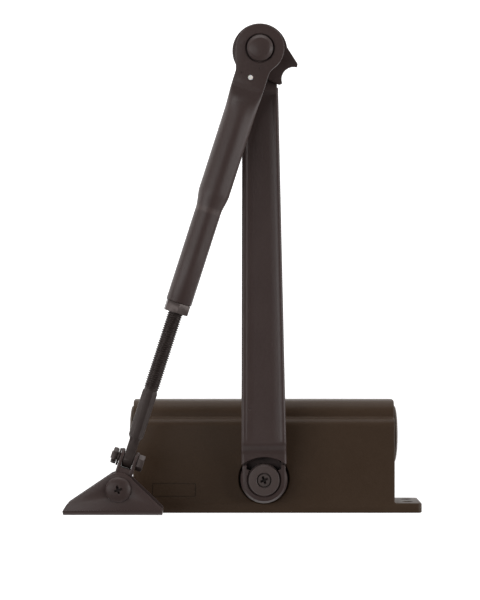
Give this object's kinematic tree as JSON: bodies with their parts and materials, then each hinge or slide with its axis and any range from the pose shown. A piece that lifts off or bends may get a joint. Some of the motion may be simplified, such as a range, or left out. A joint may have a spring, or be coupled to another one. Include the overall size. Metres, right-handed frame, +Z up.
{
  "type": "door closer",
  "caption": "Surface-mounted rack and pinion door closer with a folding scissor arm, a hold-open elbow, an adjustable rod and a swivelling frame bracket.",
  "frame": {"origin": "centre of the body's door-side face, level with the pinion and halfway up the body", "axes": "+Z up along the pinion shaft, +Y into the door, -Y away from the door, X along the door with the frame bracket towards +X"},
  "size_m": [0.202, 0.276, 0.0976],
  "materials": {
    "body_paint": "fine matt texture coat",
    "arm_paint": "fine matt texture coat",
    "dark_steel": "blackened",
    "bright_steel": "ground",
    "spring_steel": "oiled",
    "rubber": "matt",
    "brass": "machined",
    "white_nylon": "satin",
    "black_nylon": "satin"
  },
  "bodies": {
    "closer_body": {"housing": "body_paint", "valve_end_cap": "body_paint", "spring_end_cap": "body_paint", "valve_end_seal": "rubber", "spring_end_seal": "rubber", "outer_spring": "spring_steel", "inner_spring": "spring_steel", "pinion_gland": "dark_steel", "upper_bearing": "bright_steel", "lower_bearing": "bright_steel", "upper_shaft_seal": "rubber", "lower_shaft_seal": "rubber", "spindle_cap": "black_nylon"},
    "closing_valve": {"closing_valve": "brass", "closing_valve_seal": "rubber"},
    "latch_valve": {"latch_valve": "brass", "latch_valve_seal": "rubber"},
    "piston": {"piston": "bright_steel", "piston_seal": "black_nylon", "check_ball": "bright_steel", "check_retainer": "bright_steel"},
    "main_arm": {"pinion_shaft": "bright_steel", "main_arm": "arm_paint", "arm_washer": "arm_paint", "arm_screw": "dark_steel", "elbow_stud": "arm_paint", "elbow_spacer": "dark_steel"},
    "hold_open_disc": {"hold_open_disc": "arm_paint"},
    "forearm": {"forearm_tube": "arm_paint", "hold_open_pin": "white_nylon"},
    "jam_nut": {"jam_nut": "dark_steel"},
    "threaded_rod": {"threaded_rod": "dark_steel"},
    "yoke": {"yoke": "arm_paint", "yoke_bolt": "dark_steel", "yoke_washer": "dark_steel", "yoke_nut": "dark_steel"},
    "bracket": {"bracket": "arm_paint", "pivot_screw": "dark_steel", "pivot_nut": "dark_steel"}
  },
  "joints": [
    {"name": "arm_swing", "type": "hinge", "parent": "closer_body", "child": "main_arm", "pos_m": [0, -0.0195, 0.028], "axis": [0, 0, -1], "range_deg": [0, 140], "stiffness_Nm_per_rad": 8, "springref_deg": -34.38},
    {"name": "piston_stroke", "type": "slide", "parent": "closer_body", "child": "piston", "axis": [-1, 0, 0], "range_m": [0, 0.0285], "deforming": ["outer_spring", "inner_spring"]},
    {"name": "closing_speed", "type": "hinge", "parent": "closer_body", "child": "closing_valve", "pos_m": [0.065, -0.014, 0.01], "axis": [1, 0, 0], "range_deg": [0, 360]},
    {"name": "latch_speed", "type": "hinge", "parent": "closer_body", "child": "latch_valve", "pos_m": [0.065, -0.014, -0.01], "axis": [1, 0, 0], "range_deg": [0, 360]},
    {"name": "hold_open_set", "type": "hinge", "parent": "main_arm", "child": "hold_open_disc", "pos_m": [0.0025, -0.2606, 0.0458], "axis": [0, 0, 1], "range_deg": [-10, 60]},
    {"name": "elbow", "type": "hinge", "parent": "main_arm", "child": "forearm", "pos_m": [0.0025, -0.2606, 0.062], "axis": [0, 0, -1], "range_deg": [-12, 160]},
    {"name": "jam_nut_travel", "type": "slide", "parent": "forearm", "child": "jam_nut", "axis": [0.3057, 0.9521, 0], "range_m": [0, 0.014]},
    {"name": "rod_length", "type": "slide", "parent": "forearm", "child": "threaded_rod", "axis": [0.3057, 0.9521, 0], "range_m": [-0.015, 0.025]},
    {"name": "yoke_tilt", "type": "hinge", "parent": "threaded_rod", "child": "yoke", "pos_m": [0.07577, -0.03238, 0.053], "axis": [-0.9521, 0.3057, 0], "range_deg": [-15, 15]},
    {"name": "bracket_swivel", "type": "hinge", "parent": "yoke", "child": "bracket", "pos_m": [0.08096, -0.01624, 0.053], "axis": [0, 0, 1], "range_deg": [-65, 65]}
  ],
  "couplings": [
    {"joint": "piston_stroke", "follows": "arm_swing", "m_per_rad": 0.0115}
  ]
}
